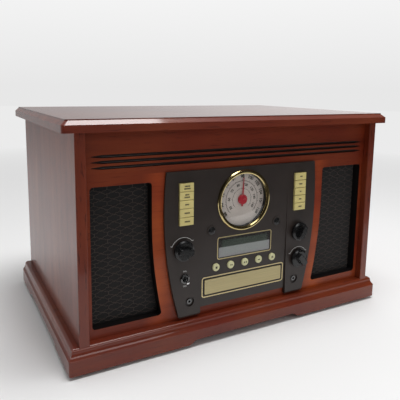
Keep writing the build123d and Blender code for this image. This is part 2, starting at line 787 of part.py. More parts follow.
def make_knobs():
    for name, (x, z) in knob_places().items():
        back = pilaster_out(z) + knob_gap
        front = pilaster_out(z) + knob_out
        skirt_front = back + knob_skirt_height
        points = [(0, back), (knob_skirt_radius - 0.6, back), (knob_skirt_radius, back + 0.8),
                  (knob_skirt_radius, skirt_front - 1.0), (knob_radius - 1.2, skirt_front),
                  (knob_radius - 2.2, skirt_front + 0.8), (0, skirt_front + 0.8)]
        knob = turned_front(x, z, points)
        grip = Rectangle(2 * knob_radius - 5.5, knob_grip_width)
        grip = fillet(grip.vertices(), knob_grip_width / 3)
        bar = on_front(Pos(x, z) * Rot(0, 0, knob_rest_angle[name]) * grip, skirt_front, front)
        bar = chamfer(bar.faces().sort_by(Axis.Y)[0].edges(), 1.0)
        knob += bar
        knob += rod_y(x, z, fascia_y - back, fascia_y + rotary_can_depth - 2, knob_shaft_radius)
        save(name, knob)


def make_circuit():
    board = block(-circuit_half_width, circuit_half_width, circuit_y, circuit_y + circuit_thickness,
                  circuit_low, circuit_high)
    board -= rod_y(dial_x, dial_z, circuit_y - 1, circuit_y + circuit_thickness + 1,
                   pointer_shaft_radius + running_gap)
    pieces = [board]
    for x, z in knob_places().values():
        can_back = fascia_y + rotary_can_depth
        can = rod_y(x, z, fascia_y, can_back, rotary_can_radius)
        can += disc_front(x, z, 0, pilaster_out(z) + 0.8, bush_radius)
        can -= rod_y(x, z, fascia_y - deep, can_back - 1.5, knob_shaft_radius + running_gap)
        pieces.append(can)
    save("control_circuit", *pieces)


def make_panel_fittings():
    bushes = []
    out = toggle_seat
    bush = [(2.6 + curved_gap, -4), (toggle_bush_radius - 2, -4), (toggle_bush_radius - 2, out),
            (toggle_bush_radius, out), (toggle_bush_radius, out + 1.6), (toggle_bush_radius - 1.6, out + 2.2),
            (4.4, out + 2.2), (2.6 + curved_gap, out - 0.5)]
    bushes.append(turned_front(toggle_x, toggle_z, bush))
    for side in (-1, 1):
        floor = pilaster_out(jack_z) - 2.0
        ring = disc_front(side * jack_x, jack_z, floor, floor + 1.6, jack_ring_radius)
        ring += disc_front(side * jack_x, jack_z, floor + 1.6 - jack_length, floor, jack_ring_radius - 0.6)
        ring -= disc_front(side * jack_x, jack_z, floor - deep, floor + deep, jack_bore_radius)
        bushes.append(ring)
    save("panel_bushes", *bushes)
    ball = 2.6
    pivot_out = out - 2.0
    lever = [(0, -7), (1.2, -7), (1.3, -2.4), (ball * 0.9, -1.3), (ball, 0), (ball * 0.9, 1.3), (1.5, 2.4),
             (1.6, 4), (2.2, toggle_reach - 1.5), (1.9, toggle_reach - 0.3), (1.2, toggle_reach),
             (0, toggle_reach)]
    turned = revolve(Plane.XZ * make_face(Polyline(*lever, close=True)), Axis.Z)
    placed = Pos(toggle_x, fascia_y - pivot_out, toggle_z) * Rot(90 + toggle_tilt, 0, 0) * turned
    pin_half = ball + 0.2
    placed += rod_x(fascia_y - pivot_out, toggle_z, toggle_x - pin_half, toggle_x + pin_half, 0.9)
    save("toggle_lever", placed)
    lenses = []
    for side in (-1, 1):
        lens = [(0, 0), (window_radius, 0), (window_radius, panel_plate + 0.6),
                (window_radius * 0.6, panel_plate + 1.3), (0, panel_plate + 1.5)]
        lens = turned_front(side * window_x, window_z, lens)
        lens += disc_front(side * window_x, window_z, -2.0, 0, window_radius + 2)
        lenses.append(lens)
    out = pilaster_out(led_z)
    led = [(0, 0), (led_radius, 0), (led_radius, out + 0.5), (led_radius * 0.6, out + 1.3), (0, out + 1.6)]
    led = turned_front(led_x, led_z, led)
    led += disc_front(led_x, led_z, -1.5, 0, led_radius + 1)
    lenses.append(led)
    save("panel_windows", *lenses)


# ---------------------------------------------------------------- CD player
def make_cd():
    plate_front = panel_plate + 0.6
    plate = on_front(Pos(0, cd_z) * rounded_slot(cd_plate_width, cd_plate_tall, 1.6),
                     plate_front - cd_plate_thickness, plate_front)
    save("cd_tray_plate", plate)
    block_back = plate_front - cd_plate_thickness
    front = on_front(Pos(0, cd_z) * rounded_slot(cd_plate_width - 0.8, cd_plate_tall - 0.8, 1.6),
                     block_back - tray_front_block, block_back)
    tray_half = disc_radius + 3.5
    tray_low = cd_z - cd_plate_tall / 2 + 1.0
    tray_y0 = fascia_y - block_back + tray_front_block
    tray_y1 = tray_y0 + tray_length
    tray = block(-tray_half, tray_half, tray_y0, tray_y1, tray_low, tray_low + tray_thickness)
    well_y = tray_y0 + 2.5 + disc_radius
    tray_top = tray_low + tray_thickness
    tray -= rod_z(0, well_y, tray_top - disc_well_depth, tray_top + 1, disc_radius)
    tray -= block(-16, 16, well_y - 16, tray_y1 - 22, tray_low - 1, tray_top + 1)
    save("cd_tray", front + tray)
    wall = cd_housing_wall
    half = tray_half + slide_gap + wall
    y0 = fascia_back_y
    y1 = y0 + cd_housing_length
    low = tray_low - wall
    high = tray_low + tray_thickness + cd_headroom + wall
    housing = block(-half, half, y0, y1, low, high)
    housing -= block(-half + wall, half - wall, y0 - 1, y1 - wall, tray_low, high - wall)
    housing -= block(-30, 30, well_y - 20, y1 - 30, low - 1, tray_low + 0.1)
    for x in (-half + 10, half - 10):
        for y in (y0 + 20, y1 - 20):
            housing += block(x - 5, x + 5, y - 5, y + 5, plinth_top, low + 0.5)
    save("cd_housing", housing)


# ---------------------------------------------------------------- record player
platter_y = (fascia_back_y + back_inner_y) / 2
arm_x = platter_x + arm_offset_x
arm_y = platter_y + arm_offset_y
axis_z = deck_z + arm_height
seat_z = deck_z + 2.0          # thrust washer under the platter's hub
disc_low = deck_z + platter_lift
disc_top = disc_low + platter_thickness
mat_top = disc_top + slipmat_thickness
pulley_x = platter_x + pulley_spacing * cos(radians(pulley_angle))
pulley_y = platter_y + pulley_spacing * sin(radians(pulley_angle))


def belt_outline(large, small):
    """Two discs and the band between their common tangents, along +X from the large one."""
    lean = acos((large - small) / pulley_spacing)
    tall, short = large * sin(lean), small * sin(lean)
    near_x, far_x = large * cos(lean), pulley_spacing + small * cos(lean)
    band = Polyline((near_x, -tall), (far_x, -short), (far_x, short), (near_x, tall), (0, 0), close=True)
    return Circle(large) + Pos(pulley_spacing, 0) * Circle(small) + make_face(band)


def make_record_player():
    deck = block(-inner_half, inner_half, fascia_back_y, back_inner_y, deck_z - deck_thickness, deck_z)
    deck -= rod_z(platter_x, platter_y, deck_z - deep, deck_z + 1, 8 + curved_gap)
    deck -= rod_z(pulley_x, pulley_y, deck_z - deep, deck_z + 1, pulley_radius + 3)
    deck -= rod_z(arm_x, arm_y, deck_z - deep, deck_z + 1, arm_bearing_radius + running_gap)
    deck -= rod_z(speed_lever_x, speed_lever_y, deck_z - deep, deck_z + 1, 2 + running_gap)
    boss = rod_z(arm_x, arm_y, deck_z, deck_z + arm_base_height, arm_base_radius)
    boss -= rod_z(arm_x, arm_y, deck_z - 1, deck_z + deep, arm_bearing_radius + running_gap)
    rest_y = arm_y - arm_rest_reach
    rest_top = axis_z - arm_tube_radius - curved_gap
    hook_x = arm_x + arm_tube_radius + 1.5
    post = block(arm_x - 6, hook_x, rest_y - 4, rest_y + 4, deck_z, rest_top)
    hook = block(hook_x, hook_x + 3, rest_y - 4, rest_y + 4, deck_z, axis_z + 5)
    save("deck_plate", deck, boss, post, hook)

    spindle = rod_z(platter_x, platter_y, deck_z - 10, deck_z, 8)
    spindle += rod_z(platter_x, platter_y, deck_z, seat_z, 11)
    tip = mat_top + spindle_above_mat
    spindle += rod_z(platter_x, platter_y, seat_z, mat_top, bearing_radius)
    spindle += rod_z(platter_x, platter_y, mat_top, tip - 2, spindle_radius)
    spindle += Pos(platter_x, platter_y, tip - 1) * Cone(spindle_radius, spindle_radius * 0.4, 2)
    save("record_spindle", spindle)

    platter = rod_z(platter_x, platter_y, disc_low, disc_top, platter_radius)
    skirt_low = deck_z + 3
    platter += rod_z(platter_x, platter_y, skirt_low, disc_low, platter_radius) - rod_z(
        platter_x, platter_y, skirt_low - 1, disc_low, platter_radius - platter_skirt)
    platter += rod_z(platter_x, platter_y, skirt_low, disc_low, belt_rim_radius) - rod_z(
        platter_x, platter_y, skirt_low - 1, disc_low, belt_rim_radius - belt_rim_wall)
    platter += rod_z(platter_x, platter_y, seat_z, disc_low, platter_hub_radius)
    platter -= rod_z(platter_x, platter_y, deck_z, disc_top + 1, bearing_radius + running_gap)
    save("platter", platter)
    mat = rod_z(platter_x, platter_y, disc_top, mat_top, slipmat_radius)
    mat -= rod_z(platter_x, platter_y, disc_top - 1, mat_top + 1, bearing_radius + curved_gap)
    save("slipmat", mat)

    belt_z = deck_z + 4
    wheel, pinion = belt_rim_radius + curved_gap, pulley_radius + curved_gap
    inner = belt_outline(wheel, pinion)
    outer = belt_outline(wheel + belt_thickness, pinion + belt_thickness)
    belt = extrude(outer, amount=belt_width) - extrude(inner, amount=belt_width)
    save("drive_belt", Pos(platter_x, platter_y, belt_z) * Rot(0, 0, pulley_angle) * belt)
    pulley = rod_z(pulley_x, pulley_y, deck_z + 1.5, disc_low - 0.5, pulley_radius)
    pulley += rod_z(pulley_x, pulley_y, deck_z - deck_thickness - 12, deck_z + 2, 1.0)
    save("motor_pulley", pulley)
    motor_top = deck_z - deck_thickness
    motor = rod_z(pulley_x, pulley_y, motor_top - motor_height, motor_top, motor_radius)
    motor -= rod_z(pulley_x, pulley_y, motor_top - 13, motor_top + 1, 1.0 + running_gap)
    save("platter_motor", motor)
    make_tonearm()
    lever = rod_z(speed_lever_x, speed_lever_y, deck_z, deck_z + 3, 9)
    half, tip_y = speed_grip_width / 2, speed_lever_y - speed_grip_length
    lever += block(speed_lever_x - half, speed_lever_x + half, tip_y, speed_lever_y, deck_z + 0.3, deck_z + 3)
    lever += block(speed_lever_x - half + 0.5, speed_lever_x + half - 0.5, tip_y, tip_y + 7,
                   deck_z + 3, deck_z + 9)
    lever += rod_z(speed_lever_x, speed_lever_y, deck_z - deck_thickness - 2, deck_z, 2)
    save("speed_lever", lever)


def make_tonearm():
    ear_inner, ear_outer = 8.0, 11.0
    yoke_low = deck_z + arm_base_height
    yoke = rod_z(arm_x, arm_y, yoke_low, yoke_low + 3.5, 13)
    yoke += rod_z(arm_x, arm_y, deck_z - 4, yoke_low, arm_bearing_radius)
    for side in (-1, 1):
        x0, x1 = sorted((arm_x + side * ear_inner, arm_x + side * ear_outer))
        yoke += block(x0, x1, arm_y - 5, arm_y + 5, yoke_low + 2, axis_z + 5)
    yoke -= rod_x(arm_y, axis_z, arm_x - 20, arm_x + 20, arm_pin_radius + running_gap)
    save("tonearm_yoke", yoke)

    half_hub = ear_inner - 0.5
    hub = block(arm_x - half_hub, arm_x + half_hub, arm_y - 6, arm_y + 6, axis_z - 5, axis_z + 5)
    hub += rod_x(arm_y, axis_z, arm_x - ear_outer, arm_x + ear_outer, arm_pin_radius)
    shell_y = arm_y - arm_length
    shell_back = shell_y + 18
    weight_y = arm_y + 18
    cartridge_low = axis_z - 7.2
    stylus_tip = mat_top + 2.2
    tube = rod_y(arm_x, axis_z, shell_back, arm_y - 6, arm_tube_radius)
    stub = rod_y(arm_x, axis_z, arm_y + 6, weight_y, arm_tube_radius)
    weight = rod_y(arm_x, axis_z, weight_y, weight_y + weight_length, weight_radius)
    headshell = block(arm_x - 7, arm_x + 7, shell_y - 10, shell_back, axis_z - 2, axis_z + 2)
    cartridge = block(arm_x - 5, arm_x + 5, shell_y - 8, shell_y + 12, cartridge_low, axis_z - 2)
    stylus = Cone(0.2, 0.9, cartridge_low - stylus_tip)
    stylus = Pos(arm_x, shell_y, (stylus_tip + cartridge_low) / 2) * stylus
    finger_lift = rod_x(shell_y - 2, axis_z, arm_x + 7, arm_x + 14, 1.2)
    save("tonearm", hub, tube, stub, weight, headshell, cartridge, stylus, finger_lift)


# ---------------------------------------------------------------- lid, hinges and stay
hinge_y = back_edge_y + hinge_barrel_radius + curved_gap + 0.05


def lid_plan(inset, z):
    """The lid's outline at one height, its two front corners rounded."""
    side_x, front_y = cabinet_width / 2 + lid_side_reach - inset, front_edge_y - lid_front_reach + inset
    plan = make_face(Polyline((-side_x, back_edge_y), (-side_x, front_y), (side_x, front_y),
                              (side_x, back_edge_y), close=True))
    return Pos(0, 0, z) * fillet(plan.vertices().group_by(Axis.Y)[0], lid_corner_round)


def make_lid():
    slope = lid_thickness - lid_band - lid_step
    lower = extrude(lid_plan(0, wall_top), amount=lid_band)
    top_face = lid_plan(lid_top_inset, wall_top + lid_band + slope)
    moulding = loft([lid_plan(0, wall_top + lid_band), top_face], ruled=True)
    step = extrude(top_face, amount=lid_step)
    lid = lower + moulding + step
    save("lid", lid)


def make_hinges():
    cabinet_leaves, lid_leaves, pins = [], [], []
    knuckle = hinge_leaf_width / 3
    gap = 0.3
    for x in (-hinge_x, hinge_x):
        x0, x1 = x - hinge_leaf_width / 2, x + hinge_leaf_width / 2
        y0, y1 = back_edge_y, back_edge_y + hinge_leaf_thickness
        leaf = block(x0, x1, y0, y1, wall_top - 24, wall_top - hinge_barrel_radius - gap)
        upper = block(x0, x1, y0, y1, wall_top + hinge_barrel_radius + gap, wall_top + lid_thickness - 2.5)
        knuckles = ((x0, x0 + knuckle - gap, False), (x0 + knuckle, x1 - knuckle, True),
                    (x1 - knuckle + gap, x1, False))
        for k0, k1, on_lid in knuckles:
            barrel = rod_x(hinge_y, wall_top, k0, k1, hinge_barrel_radius)
            if on_lid:
                upper += barrel + block(k0, k1, y0, y1, wall_top, wall_top + hinge_barrel_radius + 1)
            else:
                leaf += barrel + block(k0, k1, y0, y1, wall_top - hinge_barrel_radius - 1, wall_top)
        leaf -= rod_x(hinge_y, wall_top, x0 - 1, x1 + 1, hinge_pin_radius + running_gap)
        upper -= rod_x(hinge_y, wall_top, x0 - 1, x1 + 1, hinge_pin_radius + running_gap)
        cabinet_leaves.append(leaf)
        lid_leaves.append(upper)
        pins.append(rod_x(hinge_y, wall_top, x0 + 0.5, x1 - 0.5, hinge_pin_radius))
    stud_x = inner_half
    stud_angle = radians(stay_stud_angle)
    stud_y = hinge_y - stay_radius * cos(stud_angle)
    stud_z = wall_top - stay_radius * sin(stud_angle)
    stay_x1 = stud_x - 1.5
    stay_x0 = stay_x1 - stay_thickness
    stud = rod_x(stud_y, stud_z, stay_x0 - 2, stud_x, stud_radius)
    stud += rod_x(stud_y, stud_z, stay_x1 + 0.3, stud_x, stud_radius + 2)
    stud += rod_x(stud_y, stud_z, stay_x0 - 2, stay_x0 - 0.3, stud_radius + 2)
    pins.append(stud)
    save("hinge_cabinet_leaves", *cabinet_leaves)
    save("hinge_lid_leaves", *lid_leaves)
    save("lid_pins", *pins)

    slot_start = stay_stud_angle - degrees((stud_radius + curved_gap) / stay_radius)
    slot_end = stay_stud_angle + lid_open_angle + degrees((stud_radius + curved_gap) / stay_radius)
    bar_end = slot_end + degrees(3.0 / stay_radius)
    bar = arc_bar(0.0, bar_end, stay_width / 2)
    slot = arc_bar(slot_start + 3, slot_end - 3, stud_radius + curved_gap)
    for angle in (stay_stud_angle, stay_stud_angle + lid_open_angle):
        a = radians(angle)
        slot += Pos(-stay_radius * cos(a), -stay_radius * sin(a)) * Circle(stud_radius + curved_gap)
    plane = Plane(origin=(stay_x0, hinge_y, wall_top), x_dir=(0, 1, 0), z_dir=(1, 0, 0))
    stay = extrude(plane * (bar - slot), amount=stay_thickness)
    stay += block(stay_x0 - 10, stay_x1, hinge_y - stay_radius - 12, hinge_y - stay_radius + 8,
                  wall_top - 1.5, wall_top)
    save("lid_stay", stay)


def arc_bar(start, end, half_width):
    """Part of a ring round the hinge axis, from start to end degrees below the level line."""
    outer, inner = stay_radius + half_width, stay_radius - half_width

    def at(radius, angle):
        return -radius * cos(radians(angle)), -radius * sin(radians(angle))

    middle = (start + end) / 2
    lines = ThreePointArc(at(outer, start), at(outer, middle), at(outer, end))
    lines += Line(at(outer, end), at(inner, end))
    lines += ThreePointArc(at(inner, end), at(inner, middle), at(inner, start))
    lines += Line(at(inner, start), at(outer, start))
    return make_face(lines)


# ---------------------------------------------------------------- inside
def make_transformer():
    width, depth, height = transformer_size
    x, y = transformer_x, transformer_y
    core = block(x - width / 2, x + width / 2, y - 12, y + 12, plinth_top, plinth_top + height)
    core += block(x - width / 2 + 12, x + width / 2 - 12, y - depth / 2, y + depth / 2,
                  plinth_top + 8, plinth_top + height - 8)
    save("power_transformer", core)


make_plinth()
make_walls()
make_front_board()
make_back_panel()
make_rear_sockets()
make_speakers()
make_control_panel()
make_dial()
make_display()
make_keys()
make_knobs()
make_circuit()
make_panel_fittings()
make_cd()
make_record_player()
make_lid()
make_hinges()
make_transformer()
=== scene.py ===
"""Looks of the wooden stereo music centre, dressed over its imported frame. Metres, +Z up, front faces -Y."""

from math import cos, hypot, pi, radians, sin, sqrt

import bmesh
import bpy
from mathutils import Matrix, Vector


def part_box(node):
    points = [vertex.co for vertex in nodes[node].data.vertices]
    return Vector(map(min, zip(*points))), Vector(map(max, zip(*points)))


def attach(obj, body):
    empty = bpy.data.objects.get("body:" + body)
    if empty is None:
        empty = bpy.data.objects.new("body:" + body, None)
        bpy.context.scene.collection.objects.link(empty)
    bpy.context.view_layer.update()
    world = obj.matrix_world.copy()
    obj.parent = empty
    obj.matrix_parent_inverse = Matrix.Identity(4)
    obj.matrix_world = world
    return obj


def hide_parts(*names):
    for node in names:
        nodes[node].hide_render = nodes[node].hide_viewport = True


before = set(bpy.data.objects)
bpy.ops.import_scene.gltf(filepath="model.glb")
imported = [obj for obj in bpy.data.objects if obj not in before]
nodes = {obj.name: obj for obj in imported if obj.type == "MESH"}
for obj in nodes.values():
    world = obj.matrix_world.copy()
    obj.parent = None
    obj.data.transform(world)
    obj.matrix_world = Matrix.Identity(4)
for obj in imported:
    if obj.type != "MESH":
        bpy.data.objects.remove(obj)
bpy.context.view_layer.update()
MM = 0.001


# ---------------------------------------------------------------- places taken from the frame
def middle(node):
    low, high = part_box(node)
    return Vector([(a + b) / 2 for a, b in zip(low, high)])


fascia_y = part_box("front_board")[0][1]
front_edge_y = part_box("side_panel_left")[0][1]
plinth_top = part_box("front_board")[0][2]
rail_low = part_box("upper_rail")[0][2]
panel_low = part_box("control_panel")[0][2]
dial = middle("dial_face")
dial_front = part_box("dial_face")[1][1] - 1.0 * MM
panel_plate = 3.0 * MM
pilaster_inner_x = 74.5 * MM
foot_out = 6.0 * MM
knee_z = panel_low + 4.5 * MM
flare_radius = ((rail_low - knee_z) ** 2 + (foot_out - panel_plate) ** 2) / (2 * (foot_out - panel_plate))
strip_x = 136 * MM              # middle of the painted light strip beside the panel
crystal_half_width, crystal_half_height = 38.7 * MM, 10.6 * MM
dial_paper_radius = 38.1 * MM
outer_scale_mm = 26.6
outer_scale, inner_scale = outer_scale_mm * MM, 15.6 * MM
outer_figures, inner_figures = 33.4 * MM, 21.4 * MM
knob_mark_radius = 17.6 * MM
net_inner_x, net_bend_height, net_hollow_radius = 144.8 * MM, 147.0 * MM, 635.0 * MM
room_edge_y = -0.485            # nearer than this, mirrors see a dim room in place of the floor


def field_out(x, z):
    """How far the panel's face stands out of the fascia: flat between the pilasters, flared on them."""
    if abs(x) < pilaster_inner_x:
        return panel_plate
    return panel_plate + flare_radius - sqrt(flare_radius ** 2 - (rail_low - z) ** 2)


# ---------------------------------------------------------------- materials
class Shader:
    """A node material with one Principled shader."""

    def __init__(self, name, color, roughness=0.5, metallic=0.0, coat=0.0, coat_roughness=0.05):
        self.material = bpy.data.materials.new(name)
        self.material.use_nodes = True
        self.tree = self.material.node_tree
        self.surface = self.tree.nodes["Principled BSDF"]
        self.set("Base Color", (*color, 1.0))
        self.set("Roughness", roughness)
        self.set("Metallic", metallic)
        self.set("Coat Weight", coat)
        self.set("Coat Roughness", coat_roughness)
        self.set("IOR", 1.5)
        self.place = self.add("ShaderNodeTexCoord").outputs["Object"]

    def set(self, socket, value):
        self.surface.inputs[socket].default_value = value

    def add(self, kind, **settings):
        node = self.tree.nodes.new(kind)
        for key, value in settings.items():
            setattr(node, key, value)
        return node

    def join(self, source, target):
        self.tree.links.new(source, target)

    def feed(self, socket, source):
        self.join(source, self.surface.inputs[socket])

    def scaled(self, stretch):
        mapping = self.add("ShaderNodeMapping")
        mapping.inputs["Scale"].default_value = stretch
        self.join(self.place, mapping.inputs["Vector"])
        return mapping.outputs["Vector"]

    def noise(self, stretch, detail=3.0, rough=0.55, distortion=0.0):
        node = self.add("ShaderNodeTexNoise")
        node.inputs["Scale"].default_value = 1.0
        node.inputs["Detail"].default_value = detail
        node.inputs["Roughness"].default_value = rough
        node.inputs["Distortion"].default_value = distortion
        self.join(self.scaled(stretch), node.inputs["Vector"])
        return node.outputs["Fac"]

    def ramp(self, source, stops):
        node = self.add("ShaderNodeValToRGB")
        points = node.color_ramp.elements
        while len(points) < len(stops):
            points.new(0.5)
        for point, (position, value) in zip(points, stops):
            point.position = position
            point.color = (*value, 1.0) if isinstance(value, tuple) else (value, value, value, 1.0)
        self.join(source, node.inputs["Fac"])
        return node.outputs["Color"]

    def mix(self, factor, first, second, blend="MIX"):
        node = self.add("ShaderNodeMix", data_type="RGBA", blend_type=blend)
        wanted = ((node.inputs["Factor"], factor), (node.inputs[6], first), (node.inputs[7], second))
        for socket, value in wanted:
            if hasattr(value, "is_output"):
                self.join(value, socket)
            elif isinstance(value, tuple):
                socket.default_value = (*value, 1.0)
            else:
                socket.default_value = value
        return node.outputs[2]

    def math(self, operation, first, second=0.0):
        node = self.add("ShaderNodeMath", operation=operation)
        for socket, value in zip(node.inputs, (first, second)):
            if hasattr(value, "is_output"):
                self.join(value, socket)
            else:
                socket.default_value = value
        return node.outputs[0]

    def axes(self):
        node = self.add("ShaderNodeSeparateXYZ")
        self.join(self.place, node.inputs[0])
        return node.outputs

    def distance(self, first, second, centre):
        """Distance from a line through a point, measured on two axes."""
        axis = self.axes()
        a = self.math("SUBTRACT", axis[first], getattr(centre, first.lower()))
        b = self.math("SUBTRACT", axis[second], getattr(centre, second.lower()))
        return self.math("SQRT", self.math("ADD", self.math("MULTIPLY", a, a), self.math("MULTIPLY", b, b)))

    def bump(self, source, distance, strength=1.0):
        node = self.add("ShaderNodeBump")
        node.inputs["Distance"].default_value = distance
        node.inputs["Strength"].default_value = strength
        self.join(source, node.inputs["Height"])
        self.feed("Normal", node.outputs["Normal"])


def wood(name, grain, gloss, veil=0.2, painted_light_by_place=None, flecks=0.35, haze=0.06):
    """Red-brown mahogany under lacquer. grain is the texture's stretch along X, Y and Z.

    The by-place function darkens or lightens the colour by place: painted shade, painted light and black
    paint."""
    s = Shader(name, (0.17, 0.028, 0.010), roughness=0.42, coat=gloss, coat_roughness=haze)
    s.set("Specular IOR Level", veil)
    bands = s.noise([38 * g for g in grain], detail=3, distortion=0.6)
    tone = s.noise([9, 9, 9], detail=1)
    pores = s.noise([420 * g for g in grain], detail=2, rough=0.7)
    base = s.ramp(bands, [(0.25, (0.128, 0.0175, 0.0050)), (0.5, (0.168, 0.0245, 0.0068)),
                          (0.75, (0.205, 0.033, 0.0088))])
    shade = s.ramp(tone, [(0.32, (0.82, 0.62, 0.7)), (0.68, (1.08, 1.25, 1.1))])
    fleck = s.ramp(pores, [(0.30, tuple(1 - flecks * v for v in (0.9, 1.0, 1.0))), (0.43, (1.0, 1.0, 1.0))])
    color = s.mix(1.0, s.mix(1.0, base, shade, "MULTIPLY"), fleck, "MULTIPLY")
    # Painted light and shade by place, where a by-place function is given.
    if painted_light_by_place:
        color = painted_light_by_place(s, color)
    s.feed("Base Color", color)
    s.feed("Roughness", s.ramp(bands, [(0.2, 0.46), (0.8, 0.40)]))
    s.bump(pores, 0.00005, 0.3)
    return s.material


def painted_groove_shade(s, color):
    """Painted shade in the rail's grooves: dark colour where the surface lies deeper than the face."""
    return s.mix(s.math("GREATER_THAN", s.axes()["Y"], fascia_y + 0.5 * MM), color, (0.012, 0.005, 0.003))


def painted_light_and_openings(s, color):
    """Painted light: brighter, warmer strips beside the panel and a brighter band along the board's bottom;
    black paint inside the speaker openings.
    """
    axis = s.axes()
    # Painted light: a bright warm band centred on strip_x on each side of the panel.
    strip = s.math("ABSOLUTE", s.math("SUBTRACT", s.math("ABSOLUTE", axis["X"]), strip_x))
    painted_strip_light = s.ramp(s.math("MULTIPLY", strip, 24.0), [(0.05, 0.85), (0.55, 0.0)])
    # Painted light: the board is brighter towards its bottom, where the floor throws light up.
    low = s.ramp(s.math("SUBTRACT", axis["Z"], plinth_top), [(0.0, 0.5), (0.10, 0.0)])
    color = s.mix(low, color, s.mix(1.0, color, (1.5, 1.6, 1.6), "MULTIPLY"))
    color = s.mix(painted_strip_light, color, s.mix(1.0, color, (1.75, 1.85, 1.2), "MULTIPLY"))
    return s.mix(s.math("GREATER_THAN", axis["Y"], fascia_y + 0.4 * MM), color, (0.006, 0.005, 0.005))


def plastic(name, color, roughness, grain=900, depth=0.00003, variation=0.12, coat=0.0):
    """Moulded plastic with a fine texture and slight colour drift."""
    s = Shader(name, color, roughness, coat=coat)
    drift = s.noise((40, 40, 40))
    low = tuple(c * (1 - variation) for c in color)
    high = tuple(min(1.0, c * (1 + variation)) for c in color)
    s.feed("Base Color", s.ramp(drift, [(0.3, low), (0.7, high)]))
    fine = s.noise((grain, grain, grain), detail=2)
    s.feed("Roughness", s.ramp(fine, [(0.3, roughness * 0.85), (0.7, min(1.0, roughness * 1.15))]))
    s.bump(fine, depth, 0.5)
    return s.material


def metal(name, color, roughness, stretch=(400, 400, 400), depth=0.00002):
    """Metal with fine scratches along the axis whose stretch is small."""
    s = Shader(name, color, roughness, metallic=1.0)
    scratch = s.noise(stretch, detail=3)
    dark = tuple(c * 0.82 for c in color)
    s.feed("Base Color", s.ramp(scratch, [(0.3, dark), (0.7, color)]))
    s.feed("Roughness", s.ramp(scratch, [(0.3, roughness * 0.8), (0.7, min(1.0, roughness * 1.3))]))
    s.bump(scratch, depth, 0.4)
    return s.material


def paint(name, color):
    s = Shader(name, color, 0.6)
    speck = s.noise((1500, 1500, 1500), detail=1)
    s.feed("Base Color", s.ramp(speck, [(0.3, tuple(c * 0.85 for c in color)), (0.7, color)]))
    return s.material


def cloth(name, color):
    """Dark cloth with a fine uneven weave."""
    s = Shader(name, color, 0.9)
    s.set("Sheen Weight", 0.15)
    threads = s.noise((2500, 2500, 900), detail=1)
    s.feed("Base Color", s.ramp(threads, [(0.3, tuple(c * 0.55 for c in color)), (0.7, color)]))
    s.bump(threads, 0.0001, 0.6)
    return s.material


def dial_paper():
    """Printed dial: pale disc, black upstand round it."""
    s = Shader("dial_paper", (0.66, 0.59, 0.56), 0.55)
    radius = s.distance("X", "Z", dial)
    fibre = s.noise((500, 500, 500), detail=3)
    pale = s.ramp(fibre, [(0.3, (0.66, 0.59, 0.56)), (0.7, (0.74, 0.67, 0.64))])
    rim = s.math("GREATER_THAN", radius, dial_paper_radius)
    s.feed("Base Color", s.mix(rim, pale, (0.012, 0.010, 0.010)))
    return s.material


def display_glass():
    """Display module: grey-green liquid crystal behind a black border, under clear plastic."""
    s = Shader("display_glass", (0.03, 0.04, 0.03), 0.22, coat=1.0, coat_roughness=0.02)
    s.set("Coat IOR", 2.3)
    centre = middle("display_window")
    axis = s.axes()
    across = s.math("ABSOLUTE", s.math("SUBTRACT", axis["X"], centre.x))
    wide = s.math("LESS_THAN", across, crystal_half_width)
    along = s.math("ABSOLUTE", s.math("SUBTRACT", axis["Z"], centre.z))
    tall = s.math("LESS_THAN", along, crystal_half_height)
    cells = s.noise((60, 60, 60), detail=1)
    crystal = s.ramp(cells, [(0.3, (0.026, 0.042, 0.030)), (0.7, (0.038, 0.056, 0.042))])
    s.feed("Base Color", s.mix(s.math("MULTIPLY", wide, tall), (0.008, 0.008, 0.008), crystal))
    return s.material


def clear_cover():
    """Clear moulded cover: see-through, with a glossy skin by angle."""
    s = Shader("clear_cover", (1, 1, 1), 0.02)
    tree = s.tree
    clear = s.add("ShaderNodeBsdfTransparent")
    clear.inputs["Color"].default_value = (0.96, 0.96, 0.95, 1.0)
    gloss = s.add("ShaderNodeBsdfGlossy")
    tilt = s.add("ShaderNodeLayerWeight").outputs["Facing"]
    skin = s.math("ADD", s.math("MULTIPLY", s.math("POWER", tilt, 4.0), 0.6), 0.045)
    smear = s.noise((30, 30, 30))
    s.join(s.ramp(smear, [(0.3, 0.015), (0.7, 0.04)]), gloss.inputs["Roughness"])
    blend = s.add("ShaderNodeMixShader")
    s.join(skin, blend.inputs["Fac"])
    s.join(clear.outputs[0], blend.inputs[1])
    s.join(gloss.outputs[0], blend.inputs[2])
    s.join(blend.outputs[0], tree.nodes["Material Output"].inputs["Surface"])
    return s.material


def grooved_rubber():
    """Slip mat: ribbed rings round the spindle."""
    s = Shader("grooved_rubber", (0.02, 0.02, 0.02), 0.75)
    radius = s.distance("X", "Y", middle("slipmat"))
    rings = s.math("SINE", s.math("MULTIPLY", radius, 1400.0))
    s.feed("Base Color", s.ramp(rings, [(0.2, (0.012, 0.012, 0.012)), (0.9, (0.035, 0.034, 0.033))]))
    s.bump(rings, 0.0003, 0.7)
    return s.material


def paper_cone():
    s = Shader("paper_cone", (0.02, 0.018, 0.017), 0.85)
    pulp = s.noise((700, 700, 700), detail=4)
    s.feed("Base Color", s.ramp(pulp, [(0.3, (0.012, 0.011, 0.01)), (0.7, (0.03, 0.028, 0.026))]))
    s.bump(pulp, 0.0001, 0.5)
    return s.material


def circuit_green():
    s = Shader("circuit_green", (0.01, 0.07, 0.03), 0.35, coat=0.3)
    tracks = s.noise((300, 300, 300), detail=1)
    s.feed("Base Color", s.ramp(tracks, [(0.45, (0.01, 0.06, 0.025)), (0.55, (0.02, 0.11, 0.05))]))
    return s.material


def fibreboard():
    s = Shader("fibreboard", (0.10, 0.06, 0.035), 0.75)
    chips = s.noise((260, 260, 260), detail=5, rough=0.7)
    s.feed("Base Color", s.ramp(chips, [(0.35, (0.055, 0.032, 0.02)), (0.65, (0.12, 0.075, 0.045))]))
    s.bump(chips, 0.0001, 0.4)
    return s.material


